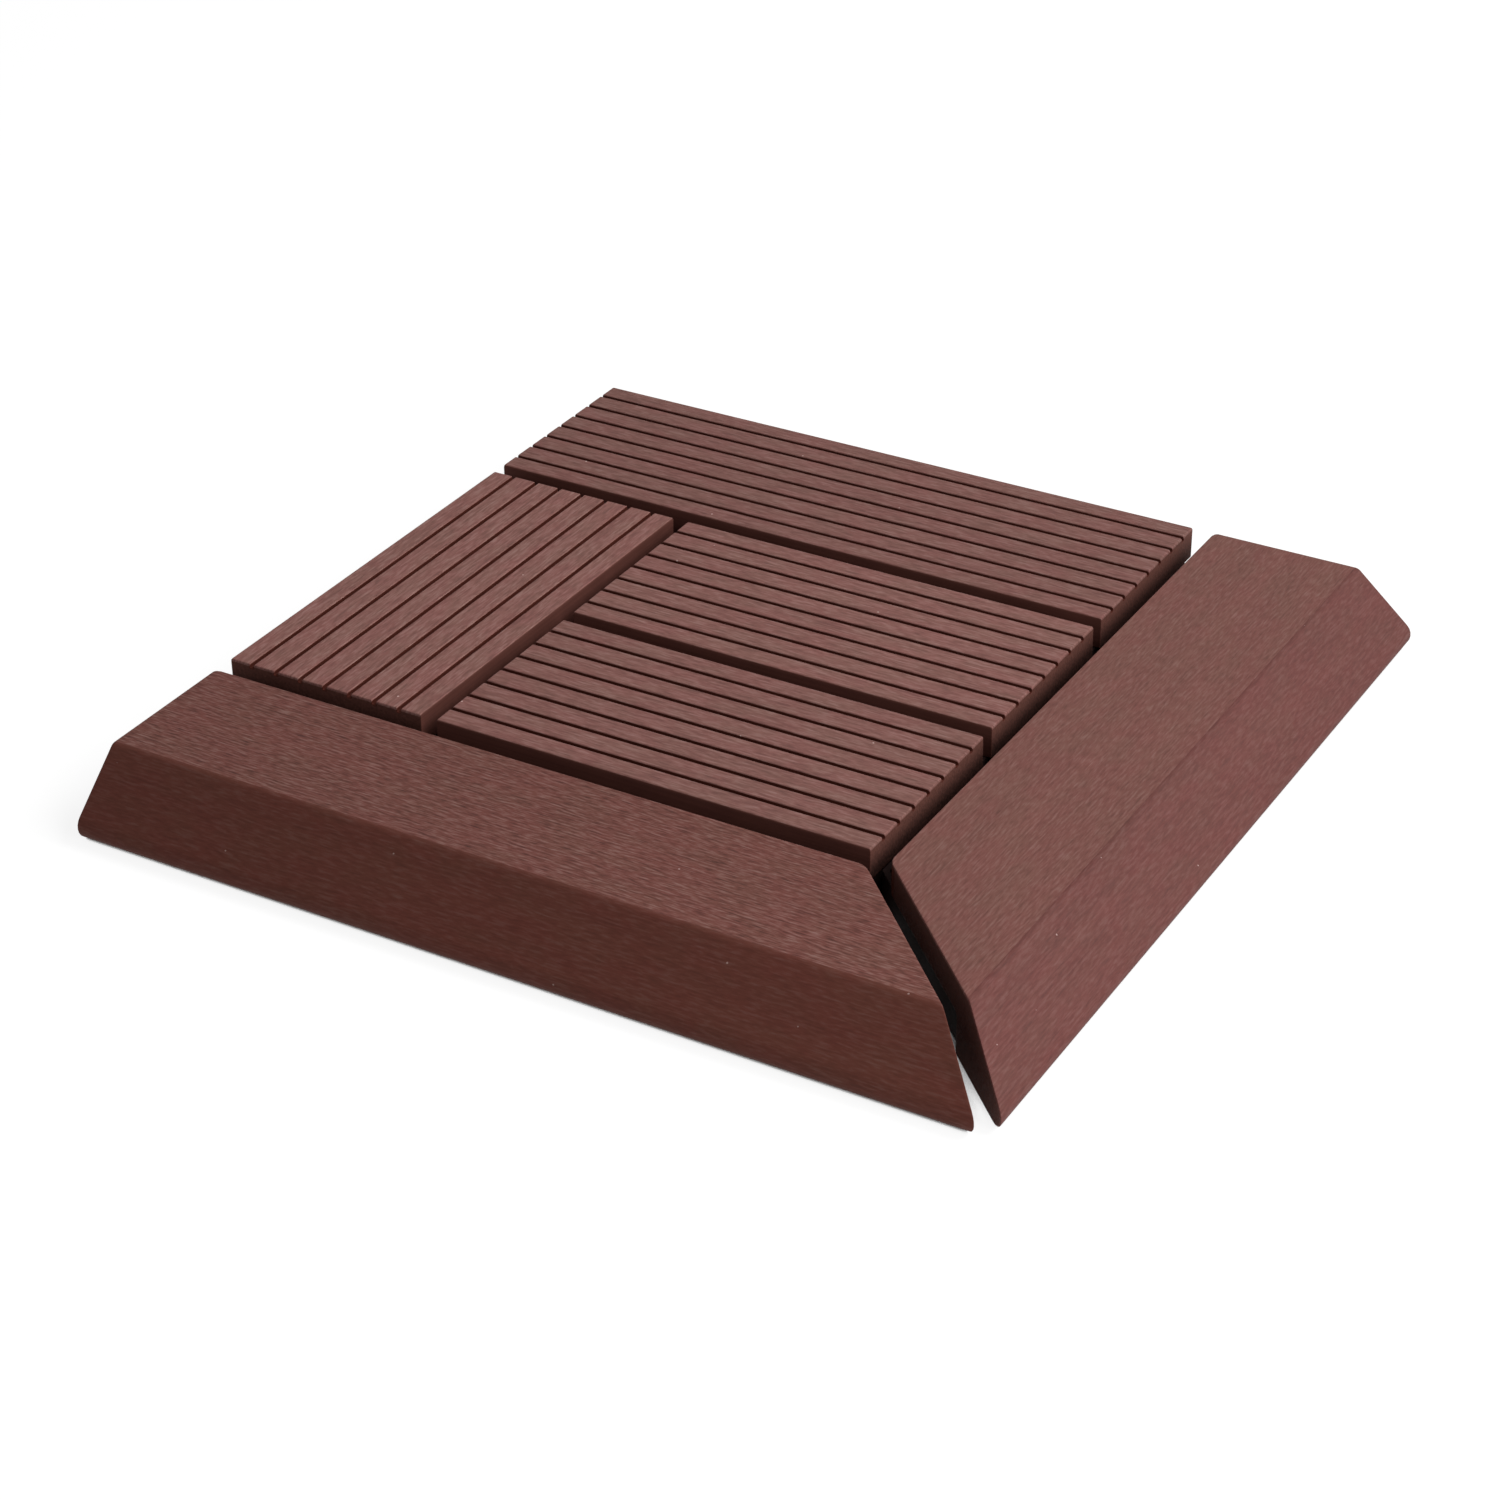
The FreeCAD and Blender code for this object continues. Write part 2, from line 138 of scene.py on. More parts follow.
def mix_colours(tree, amount, colour_a, colour_b, blend="MIX"):
    """Two colours mixed by an amount from 0 to 1."""
    sockets = {MIX_AMOUNT: amount, MIX_COLOUR_A: colour_a, MIX_COLOUR_B: colour_b}
    return add_node(tree, "Mix", sockets, data_type="RGBA", blend_type=blend).outputs[MIX_RESULT]


def rescale(tree, value, low, high, new_low=0.0, new_high=1.0):
    """A value that runs from low to high, brought to a new range and kept inside it."""
    sockets = {"Value": value, "From Min": low, "From Max": high, "To Min": new_low, "To Max": new_high}
    return add_node(tree, "MapRange", sockets, clamp=True).outputs["Result"]


def empty_tree(owner):
    """The node tree of a material or world, with nothing in it."""
    owner.use_nodes = True
    owner.node_tree.nodes.clear()
    return owner.node_tree


def new_material(name):
    """A material with a plain shader. Returns the material, its tree and the shader."""
    material = bpy.data.materials.new(name)
    tree = empty_tree(material)
    shader = add_node(tree, "BsdfPrincipled")
    add_node(tree, "OutputMaterial", {"Surface": shader.outputs["BSDF"]})
    return material, tree, shader


# %% [markdown]
# ## Floor and light
#
# The tile was shown on plain white. A large matt floor takes its soft shadow. Rays that go straight to
# the camera see the floor as mostly a white glow with a little of the lit floor on top, so the ground
# comes out white and the shadow faint, while the object is still lit at an ordinary level. Lamps that
# are strong enough to turn the floor white would bleach the tile too. The glow fades where the floor is
# closed in, as between the two trims, because no light gets down there.
#
# The main light is a wide panel behind the tile and to its right, which is why the right slope is
# bright and the front slope dark. A small weak panel at the front right opens up the side that faces
# the camera, most of all near the mitre, and a pale surround fills in the rest.

# %% Surround the tile with pale light
WHITE = (1.0, 1.0, 1.0, 1.0)
SURROUND_STRENGTH = 0.22


def sees_background(tree):
    """1 for rays from the camera and for mirrored or refracted ones, and 0 for light on the object."""
    rays = add_node(tree, "LightPath").outputs
    seen = add_math(tree, "MAXIMUM", rays["Is Camera Ray"], rays["Is Glossy Ray"])
    return add_math(tree, "MAXIMUM", seen, rays["Is Transmission Ray"])


world = bpy.data.worlds.new("pale_surround")
bpy.context.scene.world = world
world_tree = empty_tree(world)
strength = rescale(world_tree, sees_background(world_tree), 0.0, 1.0, SURROUND_STRENGTH, 1.0)
surround = add_node(world_tree, "Background", {"Color": WHITE, "Strength": strength})
add_node(world_tree, "OutputWorld", {"Surface": surround.outputs[0]})
print("The surround lights the tile at", SURROUND_STRENGTH, "and looks white")

# %% Lay a white floor
FLOOR_SIZE = 40.0
FLOOR_COLOUR = (0.9, 0.9, 0.9, 1.0)
FLOOR_SHADOW_COLOUR = (0.22, 0.22, 0.22, 1.0)
FLOOR_WHITE = 0.86
GAP_REACH = 40 * MM
CLOSED_IN = 0.175
OPEN_ENOUGH = 0.205

floor_mesh = bpy.data.meshes.new("floor")
half_floor = FLOOR_SIZE / 2
floor_corners = [(-half_floor, -half_floor, 0), (half_floor, -half_floor, 0)]
floor_corners += [(half_floor, half_floor, 0), (-half_floor, half_floor, 0)]
floor_mesh.from_pydata(floor_corners, [], [(0, 1, 2, 3)])
floor = add_to_scene("floor", floor_mesh)

floor_finish = bpy.data.materials.new("white_floor")
floor_tree = empty_tree(floor_finish)
seen = sees_background(floor_tree)
matt_colour = mix_colours(floor_tree, seen, FLOOR_COLOUR, FLOOR_SHADOW_COLOUR)
matt_floor = add_node(floor_tree, "BsdfDiffuse", {"Color": matt_colour})
openness = add_node(floor_tree, "AmbientOcclusion", {"Distance": GAP_REACH}).outputs["AO"]
open_floor = rescale(floor_tree, openness, CLOSED_IN, OPEN_ENOUGH)
full_glow = add_math(floor_tree, "MULTIPLY", seen, FLOOR_WHITE)
glow = add_math(floor_tree, "MULTIPLY", full_glow, open_floor)
white_glow = add_node(floor_tree, "Emission", {"Color": WHITE, "Strength": glow})
floor_shader = add_node(floor_tree, "AddShader", {0: matt_floor.outputs[0], 1: white_glow.outputs[0]})
add_node(floor_tree, "OutputMaterial", {"Surface": floor_shader.outputs[0]})
floor_mesh.materials.append(floor_finish)
print("The floor is", FLOOR_SIZE, "m wide")

# %% Hang the light panels
LIGHT_PANELS = [
    {"name": "main_panel", "azimuth": 128, "elevation": 44, "distance": 3.0, "size": 1.8, "power": 78.0},
    {"name": "weak_panel", "azimuth": 60, "elevation": 30, "distance": 1.0, "size": 0.5, "power": 3.0},
]

for setup in LIGHT_PANELS:
    panel_data = bpy.data.lights.new(setup["name"], "AREA")
    panel_data.shape = "SQUARE"
    panel_data.size = setup["size"]
    panel_data.energy = setup["power"]
    panel = add_to_scene(setup["name"], panel_data)
    panel_side = direction(math.radians(setup["azimuth"]), math.radians(setup["elevation"]))
    panel.location = panel_side * setup["distance"]
    panel.rotation_mode = "QUATERNION"
    panel.rotation_quaternion = panel_side.to_track_quat("Z", "Y")
    print(setup["name"], "at", [round(value, 2) for value in panel.location], "with", setup["power"], "W")

# %% [markdown]
# ## Boards from a section
#
# A composite board is pressed through a die, so its section is the same all along, and then it is sawn
# to length. Modelling follows that: an outline of the section, with each corner turned into an arc, is
# carried from one saw cut to the other. The real edges are never sharp, and their small rounds are what
# catches the light, so each cut end is eased a little too. A block with its grooves cut out would give
# the same shape, but its rounds would be hard to control, and it would not know which face is which.
#
# The faces are shaded smooth, and a Weighted Normal modifier lets the large flat ones keep their own
# direction, so that only the rounds look round.
#
# Each vertex also remembers where it lies along, across and up its own board. The finish reads that, so
# the grain always follows the board, whichever way the board is turned. A board takes more than one
# finish, so each strip of the section is asked which one it has, and the two ends are sawn.

# %% Round the corners of a section
ARC_STEPS = 8


def rounded_outline(corners):
    """A closed outline from corners (across, up, radius), with an arc at each."""
    outline = []
    for k, (across, up, radius) in enumerate(corners):
        corner = Vector((across, up))
        to_last = (Vector(corners[k - 1][:2]) - corner).normalized()
        to_next = (Vector(corners[(k + 1) % len(corners)][:2]) - corner).normalized()
        half_angle = to_last.angle(to_next) / 2
        centre = corner + (to_last + to_next).normalized() * radius / math.sin(half_angle)
        start = corner + to_last * radius / math.tan(half_angle) - centre
        end = corner + to_next * radius / math.tan(half_angle) - centre
        sweep = math.atan2(start.cross(end), start.dot(end))
        for step in range(ARC_STEPS + 1):
            outline.append(centre + Matrix.Rotation(sweep * step / ARC_STEPS, 2) @ start)
    return outline


def drawn_in(outline, distance):
    """The outline with each point moved into the material, for an outline that runs anticlockwise."""
    moved = []
    for k, point in enumerate(outline):
        along = (outline[(k + 1) % len(outline)] - outline[k - 1]).normalized()
        moved.append(point + Vector((-along.y, along.x)) * distance)
    return moved


print("Points in the arc at each corner:", ARC_STEPS + 1)

# %% Carry a section from cut to cut
END_STEPS = 3
SECTION_ROUNDS = 1.1 * MM


def round_off(radius, back):
    """How far a round of this radius draws a face in at a distance back from the end."""
    return radius - math.sqrt(radius**2 - (radius - back) ** 2) if back < radius else 0.0


def sections_of_board(outline, start_cut, end_cut, arris, top_round, corner_round):
    """The outline at every step from one eased end to the other, as places (along, across, up).

    arris eases all edges of the ends, and top_round the top ones more. corner_round is the round of the
    corners at the inner edge, the one with the greatest across, as seen from above. Points within
    SECTION_ROUNDS of the top or of the inner edge are taken as part of it.
    """
    inner_edge = max(point.x for point in outline) - SECTION_ROUNDS
    top_edge = max(point.y for point in outline) - SECTION_ROUNDS
    radii = (arris, top_round, corner_round)
    turns = [math.pi / 2 * step / END_STEPS for step in range(END_STEPS + 1)]
    backs = sorted({radius * (1 - math.cos(turn)) for radius in radii for turn in turns})
    eased = []
    for back in backs:
        ring = drawn_in(outline, round_off(arris, back))
        for place, whole in zip(ring, outline):
            place.x -= round_off(corner_round, back) if whole.x > inner_edge else 0.0
            place.y -= round_off(top_round, back) if whole.y > top_edge else 0.0
        eased.append(ring)
    start = [[(start_cut(p.x) + back, p.x, p.y) for p in ring] for ring, back in zip(eased, backs)]
    end = [[(end_cut(p.x) - back, p.x, p.y) for p in ring] for ring, back in zip(eased, backs)]
    return start + end[::-1]


def close_rings(shape, rings):
    """Faces from each ring of vertices to the next and over both ends. Returns the sides and the ends."""
    sides = []
    for ring, following in zip(rings, rings[1:]):
        for k in range(len(ring)):
            sides.append(shape.faces.new((ring[k - 1], ring[k], following[k], following[k - 1])))
    ends = [shape.faces.new(reversed(rings[0])), shape.faces.new(rings[-1])]
    bmesh.ops.recalc_face_normals(shape, faces=shape.faces)
    return sides, ends


print("Half a millimetre from an end, a 1 mm round is in by", round(round_off(1.0, 0.5), 3), "mm")

# %% Saw a board
LARGE_FACES_LEAD = 100


def object_from(shape, name):
    """A new object that holds the shape of a bmesh, which is then done with."""
    mesh = bpy.data.meshes.new(name)
    shape.to_mesh(mesh)
    shape.free()
    return add_to_scene(name, mesh)


def saw_board(name, corners, cuts, rounds, placement, finishes, finish_at):
    """A board of that section. Each cut gives the place along the board at any place across it."""
    outline = rounded_outline(corners)
    sections = sections_of_board(outline, *cuts, *rounds)
    strip_finishes = []
    for k, point in enumerate(outline):
        middle = (outline[k - 1] + point) / 2
        strip_finishes.append(list(finishes).index(finish_at(middle.x, middle.y)))

    shape = bmesh.new()
    grain = shape.verts.layers.float_vector.new("grain")
    rings = []
    for section in sections:
        ring = []
        for spot in section:
            vertex = shape.verts.new(placement @ Vector(spot))
            vertex[grain] = spot
            ring.append(vertex)
        rings.append(ring)
    sides, ends = close_rings(shape, rings)
    for number, face in enumerate(sides):
        face.material_index = strip_finishes[number % len(outline)]
    for face in ends:
        face.material_index = list(finishes).index("sawn")
    for face in shape.faces:
        face.smooth = True

    board = object_from(shape, name)
    for finish in finishes.values():
        board.data.materials.append(finish)
    even = board.modifiers.new("flat_faces_stay_flat", "WEIGHTED_NORMAL")
    even.weight = LARGE_FACES_LEAD
    print(f"{name}: {len(board.data.polygons)} faces")
    return board


def square_cut(place):
    """A saw cut straight across the board."""
    return lambda across: place


# %% [markdown]
# ## Composite finishes
#
# The boards are wood flour and fibres in a red-brown plastic. Brushing has opened the tops: they are
# dull and dusty, with fine lines and short fibres that run along the board, and the colour drifts a
# little between pink and brown. Part of the tops' pale, dusty tone is painted sheen in their colour.
# Grooves and sides keep the smoother, darker skin that the die gave them, and the saw leaves the ends
# rough. The grooves are darker than the sides, partly as painted shade. The ends of the grooved boards
# are paler near the top, as painted light, and darker at the foot, as painted shade. One recipe for all
# faces would be less work, but it is the dusty tops beside the dark grooves that make it look like
# composite. So there are three recipes, brushed, skin and sawn.
#
# The brushed one stretches noise along the grain, in long bands, brushed lines and short fibres, and
# uses the same lines for the colour, the roughness and the relief. A few specks are pale fibres cut
# across, which Voronoi cells scatter well.

# %% Noise along the grain
NOISE_ROUGHNESS = 0.55
NOISE_LOW, NOISE_HIGH = 0.3, 0.7
FINE = 3.0


def grain_noise(tree, place, length, width, detail=2.0):
    """Noise drawn out along the board. Its waves are about this long and this wide, in metres."""
    drawn_out = add_node(tree, "Mapping", {"Vector": place, "Scale": (1 / length, 1 / width, 1 / width)})
    sockets = {"Vector": drawn_out.outputs[0], "Scale": 1.0, "Detail": detail, "Roughness": NOISE_ROUGHNESS}
    return add_node(tree, "TexNoise", sockets).outputs[0]


def swing(tree, noise, amount):
    """Noise turned into a change that goes up and down by this amount."""
    return rescale(tree, noise, NOISE_LOW, NOISE_HIGH, -amount, amount)


def add_up(tree, *values):
    """The sum of several values."""
    total = values[0]
    for value in values[1:]:
        total = add_math(tree, "ADD", total, value)
    return total


def grain_place(tree, shift):
    """The place on the board, moved so that no two boards have the same pattern."""
    grain = add_node(tree, "Attribute", attribute_name="grain").outputs["Vector"]
    return add_node(tree, "VectorMath", {0: grain, 1: (shift, shift, shift)}, operation="ADD").outputs[0]


print("Noise is taken to run from", NOISE_LOW, "to", NOISE_HIGH)

# %% Join a recipe to its shader
def scaled(tree, colour, tone):
    """A colour made paler or darker by a tone around 1."""
    grey = add_node(tree, "CombineColor", {0: tone, 1: tone, 2: tone}).outputs[0]
    return mix_colours(tree, 1.0, colour, grey, "MULTIPLY")


def specks(tree, place, spacing, radius, share):
    """1 on scattered dots of this radius. Only a share of the places at this spacing has one."""
    sockets = {"Vector": place, "Scale": 1 / spacing}
    cells = add_node(tree, "TexVoronoi", sockets)
    inside = add_math(tree, "LESS_THAN", cells.outputs["Distance"], radius / spacing)
    number = add_node(tree, "SeparateColor", {0: cells.outputs["Color"]}).outputs[0]
    return add_math(tree, "MULTIPLY", inside, add_math(tree, "LESS_THAN", number, share))


def finish_with(tree, shader, colour, roughness, relief, relief_height, specular, bump_strength=1.0):
    """Joins a recipe's colour, roughness and relief to the shader."""
    tree.links.new(colour, shader.inputs["Base Color"])
    tree.links.new(roughness, shader.inputs["Roughness"])
    bump_sockets = {"Strength": bump_strength, "Distance": relief_height, "Height": relief}
    tree.links.new(add_node(tree, "Bump", bump_sockets).outputs[0], shader.inputs["Normal"])
    shader.inputs["Specular IOR Level"].default_value = specular


print("A recipe gives the shader its colour, roughness and relief")

# %% Brushed composite
BAND_SIZE = (110 * MM, 9 * MM)
LINE_SIZE = (17 * MM, 0.8 * MM)
FIBRE_SIZE = (5.5 * MM, 1.0 * MM)
MOTTLE_SIZE = (20 * MM, 11 * MM)
MOTTLE_LOW, MOTTLE_HIGH = 0.38, 0.62
BAND_SWING, LINE_SWING, FIBRE_SWING = 0.05, 0.3, 0.4
PINKER = (1.02, 0.97, 0.99)
BROWNER = (0.98, 1.03, 1.01)
DUST_HUE = (1.0, 0.84, 0.78)
SPECK_SPACING = 7 * MM
SPECK_RADIUS = 0.4 * MM
SPECK_STRENGTH = 1.8
ROUGHNESS_SWING = 0.08
BRUSHED_ROUGHNESS = 0.68
BRUSH_RELIEF = 0.1 * MM
BRUSHED_SPECULAR = 0.12


def brushed_finish(name, colour, contrast, speck_share, shift):
    """The brushed face of a board. contrast sets how strongly its lines and fibres show."""
    material, tree, shader = new_material(name)
    place = grain_place(tree, shift)
    bands = grain_noise(tree, place, *BAND_SIZE)
    lines = grain_noise(tree, place, *LINE_SIZE, FINE)
    fibres = grain_noise(tree, place, *FIBRE_SIZE)
    mottle = grain_noise(tree, place, *MOTTLE_SIZE, FINE)
    pale_specks = specks(tree, place, SPECK_SPACING, SPECK_RADIUS, speck_share)

    pinker = (*(channel * change for channel, change in zip(colour, PINKER)), 1.0)
    browner = (*(channel * change for channel, change in zip(colour, BROWNER)), 1.0)
    dust = (*(colour[0] * share for share in DUST_HUE), 1.0)
    body = mix_colours(tree, rescale(tree, mottle, MOTTLE_LOW, MOTTLE_HIGH), pinker, browner)
    line_streaks = swing(tree, lines, LINE_SWING * contrast)
    streaks = add_up(tree, line_streaks, swing(tree, fibres, FIBRE_SWING * contrast))
    shade = add_up(tree, swing(tree, bands, BAND_SWING), add_math(tree, "MINIMUM", streaks, 0.0), 1.0)
    speck_dust = add_math(tree, "MULTIPLY", pale_specks, SPECK_STRENGTH)
    dusting = add_math(tree, "MAXIMUM", streaks, speck_dust)
    surface = mix_colours(tree, 1.0, scaled(tree, body, shade), scaled(tree, dust, dusting), "ADD")
    roughness = add_up(tree, swing(tree, lines, ROUGHNESS_SWING), BRUSHED_ROUGHNESS)
    relief = add_math(tree, "ADD", lines, fibres)
    finish_with(tree, shader, surface, roughness, relief, BRUSH_RELIEF * contrast, BRUSHED_SPECULAR)
    return material


print("Fibres are about", FIBRE_SIZE[0] / MM, "mm long")

# %% Skin and sawn composite
SKIN_LINE_SIZE = (90 * MM, 0.8 * MM)
SKIN_CLOUD_SIZE = (30 * MM, 12 * MM)
SKIN_LINE_SWING, SKIN_CLOUD_SWING = 0.1, 0.12
SKIN_ROUGHNESS = 0.6
SKIN_RELIEF = 0.03 * MM
SKIN_SPECULAR = 0.06
CRUMB_SIZE = (1.2 * MM, 1.2 * MM)
TOOTH_MARK_SIZE = (1.0, 1.6 * MM)
COARSE = 1.0
CRUMB_SWING, TOOTH_MARK_SWING = 0.22, 0.06
SAWN_ROUGHNESS = 0.8
SAWN_RELIEF = 0.2 * MM
SAWN_SPECULAR = 0.08
# Heights over which painted shade at the foot of a sawn end turns to painted light at its top.
PAINTED_SHADING_FROM = 3 * MM
PAINTED_SHADING_TO = 12 * MM


def skin_finish(name, colour):
    """The smooth face that the die leaves, with faint lines where the board ran through it."""
    material, tree, shader = new_material(name)
    place = grain_place(tree, 0.0)
    lines = grain_noise(tree, place, *SKIN_LINE_SIZE, FINE)
    clouds = grain_noise(tree, place, *SKIN_CLOUD_SIZE, FINE)
    cloud_tone = swing(tree, clouds, SKIN_CLOUD_SWING)
    tone = add_up(tree, swing(tree, lines, SKIN_LINE_SWING), cloud_tone, 1.0)
    roughness = add_up(tree, swing(tree, clouds, ROUGHNESS_SWING), SKIN_ROUGHNESS)
    surface = scaled(tree, (*colour, 1.0), tone)
    finish_with(tree, shader, surface, roughness, lines, SKIN_RELIEF, SKIN_SPECULAR)
    return material


def sawn_finish(name, colour, shaded_foot_tone, lit_top_tone):
    """A sawn end: crumbly, with pale flour and the fine marks of the saw's teeth.

    The two tones paint shade at the foot and light at the top, making the end darker or paler there.
    """
    material, tree, shader = new_material(name)
    place = grain_place(tree, 0.0)
    crumbs = grain_noise(tree, place, *CRUMB_SIZE, FINE)
    tooth_marks = grain_noise(tree, place, *TOOTH_MARK_SIZE, COARSE)
    up = add_node(tree, "SeparateXYZ", {"Vector": place}).outputs["Z"]
    # Painted shade and light: darker towards the foot of the end and paler towards its top.
    painted_shading = rescale(tree, up, PAINTED_SHADING_FROM, PAINTED_SHADING_TO, shaded_foot_tone, lit_top_tone)
    tooth_tone = swing(tree, tooth_marks, TOOTH_MARK_SWING)
    tone = add_up(tree, swing(tree, crumbs, CRUMB_SWING), tooth_tone, painted_shading)
    roughness = add_up(tree, swing(tree, crumbs, ROUGHNESS_SWING), SAWN_ROUGHNESS)
    surface = scaled(tree, (*colour, 1.0), tone)
    finish_with(tree, shader, surface, roughness, crumbs, SAWN_RELIEF, SAWN_SPECULAR)
    return material


# %% Mix the finishes that all boards share
# The die's dark skin, darkened further as painted shade in the grooves. The sides have a paler colour.
SKIN_AND_GROOVE_SHADE_COLOUR = (0.068, 0.017, 0.011)
SIDE_COLOUR = (0.098, 0.036, 0.028)
SHARED_FINISHES = {
    "skin": skin_finish("composite_skin_groove_shade", SKIN_AND_GROOVE_SHADE_COLOUR),
    "side": skin_finish("composite_side", SIDE_COLOUR),
}
print("Finishes shared by all boards:", ", ".join(SHARED_FINISHES))

# %% [markdown]
# ## Grooved boards
#
# Each board has seven straight grooves in its top, which drain water and give grip. The grooves leave
# eight ribs with softly rounded edges. The section is drawn once, groove by groove, from sizes that the
# packed board gives and a few of its own, and the four boards differ only in length, place and turn.

# %% Section of a grooved board
slat_low, slat_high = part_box("back_slat")
SLAT_WIDTH = slat_high.y - slat_low.y
SLAT_THICKNESS = slat_high.z - slat_low.z
GROOVES = 7
GROOVE_PITCH = 12.25 * MM
GROOVE_WIDTH = 2.0 * MM
GROOVE_DEPTH = 2.0 * MM
RIB_ROUND = 0.55 * MM
GROOVE_FLOOR_ROUND = 0.3 * MM
BOARD_SIDE_ROUND = 0.9 * MM
BOARD_FOOT_ROUND = 0.6 * MM
BOARD_ARRIS = 0.3 * MM
BOARD_TOP_ROUND = 0.8 * MM
BRUSH_REACH = 0.3 * MM


def grooved_section():
    """Corners of the section, anticlockwise from the lower left, with the board's middle at across 0."""
    half = SLAT_WIDTH / 2
    corners = [(-half, 0.0, BOARD_FOOT_ROUND), (half, 0.0, BOARD_FOOT_ROUND)]
    corners.append((half, SLAT_THICKNESS, BOARD_SIDE_ROUND))
    floor_height = SLAT_THICKNESS - GROOVE_DEPTH
    for k in range(GROOVES // 2, -GROOVES // 2, -1):
        right = GROOVE_PITCH * k + GROOVE_WIDTH / 2
        left = right - GROOVE_WIDTH
        corners.append((right, SLAT_THICKNESS, RIB_ROUND))
        corners.append((right, floor_height, GROOVE_FLOOR_ROUND))
        corners.append((left, floor_height, GROOVE_FLOOR_ROUND))
        corners.append((left, SLAT_THICKNESS, RIB_ROUND))
    corners.append((-half, SLAT_THICKNESS, BOARD_SIDE_ROUND))
    return corners


def board_finish_at(across, up):
    """The brush only reaches the tops of the ribs, and the outer sides have a paler skin than the grooves.
    """
    if up > SLAT_THICKNESS - BRUSH_REACH:
        return "brushed"
    return "side" if abs(across) > SLAT_WIDTH / 2 - BOARD_SIDE_ROUND else "skin"


print("Corners in the section of a grooved board:", len(grooved_section()))

# %% Saw the four boards
# The boards' own red-brown with painted sheen in it, so it is paler and greyer than the bare composite.
GROOVED_COLOUR_AND_SHEEN = (0.212, 0.094, 0.080)
GROOVED_CONTRAST = 0.6
GROOVED_SPECKS = 0.05
PATTERN_STEP = 0.7
SAWN_COLOUR = (0.088, 0.035, 0.027)
# Painted shade at the foot of the grooved boards' ends and painted light at their top.
PAINTED_FOOT_SHADE, PAINTED_TOP_LIGHT = 0.45, 1.35
TURNED_BOARDS = ("left_slat",)
BOARD_TONES = {"back_slat": 0.9, "left_slat": 1.05, "middle_slat": 1.0, "front_slat": 0.95}

ends_with_painted_shading = sawn_finish("composite_sawn_board", SAWN_COLOUR, PAINTED_FOOT_SHADE, PAINTED_TOP_LIGHT)
for number, (node_name, tone) in enumerate(BOARD_TONES.items()):
    low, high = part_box(node_name)
    turned = node_name in TURNED_BOARDS
    length = high.y - low.y if turned else high.x - low.x
    middle = Vector(((low.x + high.x) / 2, (low.y + high.y) / 2, low.z))
    placement = Matrix.Translation(middle) @ Matrix.Rotation(math.radians(90 if turned else 0), 4, "Z")
    colour = [channel * tone for channel in GROOVED_COLOUR_AND_SHEEN]
    look = (colour, GROOVED_CONTRAST, GROOVED_SPECKS, number * PATTERN_STEP)
    brushed = brushed_finish(f"grooved_composite_{number}", *look)
    board = saw_board(
        node_name.replace("slat", "board"),
        grooved_section(),
        (square_cut(-length / 2), square_cut(length / 2)),
        (BOARD_ARRIS, BOARD_TOP_ROUND, 0.0),
        placement,
        {"brushed": brushed, "sawn": ends_with_painted_shading, **SHARED_FINISHES},
        board_finish_at,
    )
    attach(board, "root")
    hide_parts(node_name)

# %% [markdown]
# ## Edge trims
#
# A trim carries the walking level down to the ground: flat top, then a slope to a round nose. Below, it
# is rebated so that it sits over its strip. One end is sawn square and the other at 45 degrees, where
# the two trims meet round the corner. It is the same press-and-saw job as the boards, with a slanted
# cut in the place of one square cut.

# %% Section of a trim
front_low, front_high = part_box("front_trim")
TRIM_HEIGHT = front_high.z
TRIM_REACH = front_high.y - front_low.y
REBATE_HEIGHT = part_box("front_trim_base")[1].z
REBATE_CLEARANCE = 1.0 * MM
REBATE_DEPTH = front_high.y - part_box("front_trim_base")[0].y + REBATE_CLEARANCE
TRIM_TOP = 67.5 * MM
TRIM_SLOPE = 36.0 * MM
NOSE_ROUND = 6.0 * MM
TRIM_EDGE_ROUND = 1.0 * MM
RIDGE_ROUND = 4.0 * MM
TRIM_ARRIS = 0.8 * MM
TRIM_CORNER_ROUND = 3.0 * MM


def trim_section():
    """Corners of the section, anticlockwise, with across 0 at the inner edge and the nose at minus."""
    return [
        (0.0, REBATE_HEIGHT, TRIM_EDGE_ROUND),
        (0.0, TRIM_HEIGHT, TRIM_EDGE_ROUND),
        (-TRIM_TOP, TRIM_HEIGHT, RIDGE_ROUND),
        (-TRIM_TOP - TRIM_SLOPE, 0.0, NOSE_ROUND),
        (-REBATE_DEPTH, 0.0, TRIM_EDGE_ROUND),
        (-REBATE_DEPTH, REBATE_HEIGHT, TRIM_EDGE_ROUND),
    ]


def trim_finish_at(across, up):
    """The walked-on top is brushed most, the slope and nose less, and the rest is as it left the die."""
    if up > TRIM_HEIGHT - BRUSH_REACH and across > -TRIM_TOP + RIDGE_ROUND / 2:
        return "brushed"
    beyond_rebate = across < -REBATE_DEPTH - TRIM_EDGE_ROUND and up > BRUSH_REACH
    return "slope" if beyond_rebate else "skin"


print("A trim reaches", round(TRIM_REACH / MM, 2), "mm and is", round(TRIM_HEIGHT / MM, 2), "mm high")

# %% Saw the two trims
SQUARE_END = -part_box("front_trim")[0].x
MITRE_START = front_high.x - TRIM_REACH
SLOPE_CONTRAST = 0.4
TOP_SPECKS, SLOPE_SPECKS = 0.03, 0.14
TRIM_SHIFTS = {"front_trim": 3.0, "right_trim": 3.9}
TRIM_FINISHES = {
    "front_trim": {"top": (0.146, 0.052, 0.041), "slope": (0.101, 0.030, 0.021), "contrast": 1.0},
    # The right trim's colours are paler and greyer than the front trim's, partly as painted sheen.
    "right_trim": {"top": (0.168, 0.068, 0.056), "slope": (0.122, 0.042, 0.036), "contrast": 0.5},
}


def mitre_cut(way):
    """A saw cut at 45 degrees: the further out, the longer the trim."""
    return lambda across: way * (MITRE_START - across)


